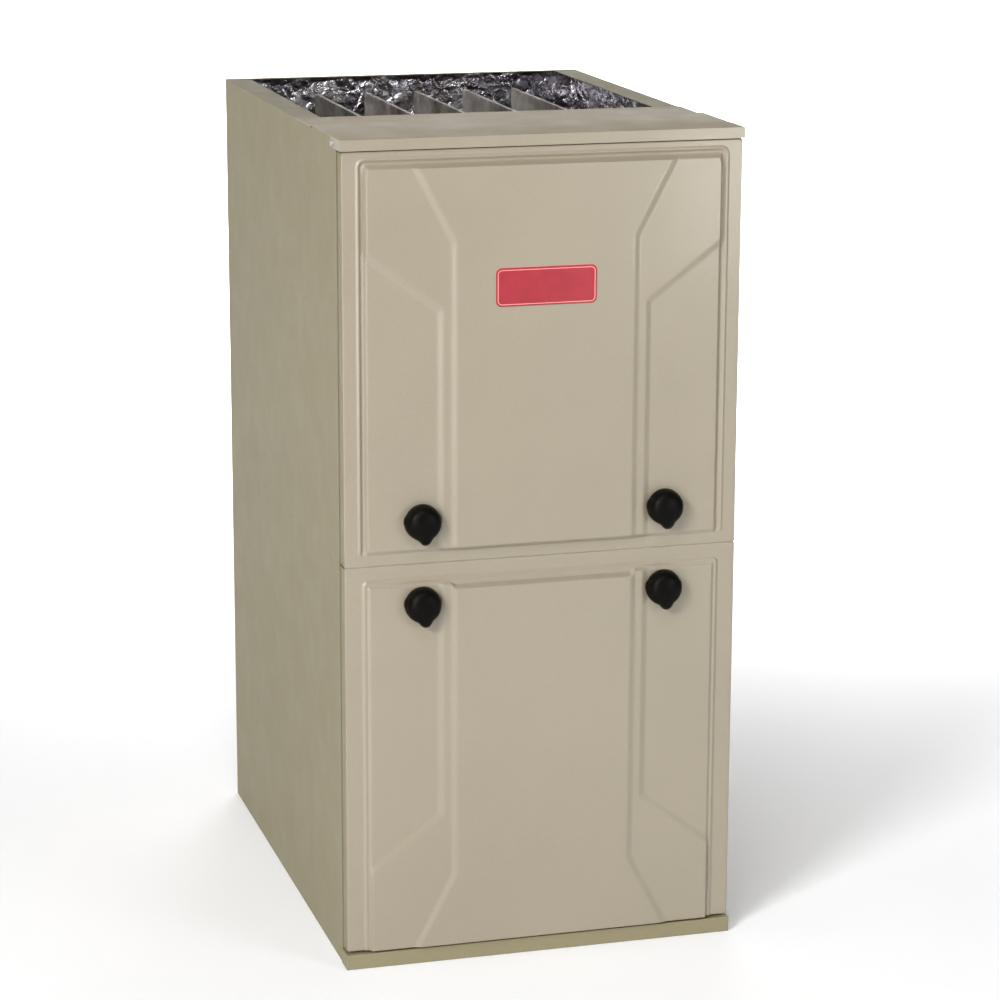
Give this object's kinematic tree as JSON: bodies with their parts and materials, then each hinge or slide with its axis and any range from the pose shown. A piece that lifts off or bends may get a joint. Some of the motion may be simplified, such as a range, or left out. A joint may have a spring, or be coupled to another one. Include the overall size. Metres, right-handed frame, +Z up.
{
  "type": "forced_air_gas_furnace",
  "caption": "Upflow forced air gas furnace in a tan steel casing, with two embossed lift-off doors, quarter-turn knobs, clamshell heat exchanger, burners, inducer and blower",
  "frame": {"origin": "centre of the overall footprint, on the floor", "axes": "+Z up, -Y to the front where the doors are, +X to the right side with the vent, gas and power entries"},
  "size_m": [0.4972, 0.704, 1.013],
  "materials": {
    "casing_paint": "satin",
    "door_paint": "satin",
    "bare_panel": "satin",
    "zinc": "satin",
    "foil": "gloss",
    "cell_steel": "satin",
    "flue_steel": "satin",
    "burner_steel": "satin",
    "pipe_black": "matte",
    "brass": "satin",
    "die_cast": "satin",
    "wheel_steel": "satin",
    "motor_black": "satin",
    "switch_blue": "satin",
    "ceramic": "matte",
    "switch_black": "matte",
    "red_plastic": "satin",
    "fan_nylon": "satin",
    "hose_rubber": "matte",
    "board_green": "satin",
    "transformer_iron": "matte",
    "knob_black": "gloss",
    "plate_red": "gloss",
    "wire_sheath": "matte"
  },
  "bodies": {
    "casing": {"left_side_panel": "casing_paint", "right_side_panel": "casing_paint", "back_panel": "casing_paint", "top_front_plate": "casing_paint", "base_rail": "casing_paint", "centre_rail": "casing_paint", "bottom_closure_panel": "bare_panel", "blower_shelf": "bare_panel", "cell_panel": "bare_panel", "control_box": "bare_panel", "junction_box": "bare_panel", "burner_box": "bare_panel", "motor_arms": "bare_panel", "blower_housing": "bare_panel", "latch_receptacles": "zinc", "casing_screws": "zinc", "insulation_liner": "foil", "heat_exchanger_cell_1": "cell_steel", "heat_exchanger_cell_2": "cell_steel", "heat_exchanger_cell_3": "cell_steel", "heat_exchanger_cell_4": "cell_steel", "heat_exchanger_cell_5": "cell_steel", "collector_box": "flue_steel", "inducer_housing": "flue_steel", "vent_adapter": "flue_steel", "burner_1": "burner_steel", "burner_2": "burner_steel", "burner_3": "burner_steel", "burner_4": "burner_steel", "burner_5": "burner_steel", "gas_manifold": "pipe_black", "orifices": "brass", "gas_valve": "die_cast", "inducer_motor": "motor_black", "blower_motor": "motor_black", "igniter": "ceramic", "flame_sensor": "ceramic", "rollout_switch": "switch_black", "limit_switch": "switch_black", "pressure_switch": "switch_black", "door_switch": "fan_nylon", "pressure_hose": "hose_rubber", "control_board": "board_green", "terminal_block": "board_green", "transformer": "transformer_iron", "wiring_harness": "wire_sheath"},
    "upper_door": {"upper_door": "door_paint", "name_plate": "plate_red"},
    "lower_door": {"lower_door": "door_paint"},
    "upper_left_knob": {"upper_left_knob": "knob_black"},
    "upper_right_knob": {"upper_right_knob": "knob_black"},
    "lower_left_knob": {"lower_left_knob": "knob_black"},
    "lower_right_knob": {"lower_right_knob": "knob_black"},
    "blower_rotor": {"blower_wheel": "wheel_steel", "blower_shaft": "zinc"},
    "inducer_rotor": {"inducer_wheel": "wheel_steel", "inducer_cooling_fan": "fan_nylon"},
    "gas_switch": {"gas_valve_switch": "switch_blue"},
    "reset_button": {"rollout_reset_button": "red_plastic"},
    "switch_plunger": {"door_switch_plunger": "switch_black"}
  },
  "joints": [
    {"name": "upper_door_slide", "type": "slide", "parent": "casing", "child": "upper_door", "axis": [0, -1, 0], "range_m": [0, 0.4]},
    {"name": "lower_door_slide", "type": "slide", "parent": "casing", "child": "lower_door", "axis": [0, -1, 0], "range_m": [0, 0.4]},
    {"name": "upper_left_knob_turn", "type": "hinge", "parent": "upper_door", "child": "upper_left_knob", "pos_m": [-0.151, -0.328, 0.558], "axis": [0, 1, 0], "range_deg": [0, 90]},
    {"name": "lower_left_knob_turn", "type": "hinge", "parent": "lower_door", "child": "lower_left_knob", "pos_m": [-0.151, -0.328, 0.457], "axis": [0, 1, 0], "range_deg": [0, 90]},
    {"name": "upper_right_knob_turn", "type": "hinge", "parent": "upper_door", "child": "upper_right_knob", "pos_m": [0.151, -0.328, 0.558], "axis": [0, 1, 0], "range_deg": [0, 90]},
    {"name": "lower_right_knob_turn", "type": "hinge", "parent": "lower_door", "child": "lower_right_knob", "pos_m": [0.151, -0.328, 0.457], "axis": [0, 1, 0], "range_deg": [0, 90]},
    {"name": "blower_spin", "type": "hinge", "parent": "casing", "child": "blower_rotor", "pos_m": [0, 0.06, 0.24], "axis": [1, 0, 0], "continuous": true},
    {"name": "inducer_spin", "type": "hinge", "parent": "casing", "child": "inducer_rotor", "pos_m": [-0.045, -0.19, 0.87], "axis": [0, 1, 0], "continuous": true},
    {"name": "gas_switch_toggle", "type": "hinge", "parent": "casing", "child": "gas_switch", "pos_m": [0.2072, -0.288, 0.656], "axis": [1, 0, 0], "range_deg": [-35, 0]},
    {"name": "reset_button_push", "type": "slide", "parent": "casing", "child": "reset_button", "axis": [0, 0, -1], "range_m": [0, 0.0015], "stiffness_N_per_m": 300},
    {"name": "switch_plunger_push", "type": "slide", "parent": "casing", "child": "switch_plunger", "axis": [0, -1, 0], "range_m": [0, 0.0042]}
  ],
  "couplings": [
    {"joint": "switch_plunger_push", "follows": "lower_door_slide", "ratio": 0.01}
  ]
}
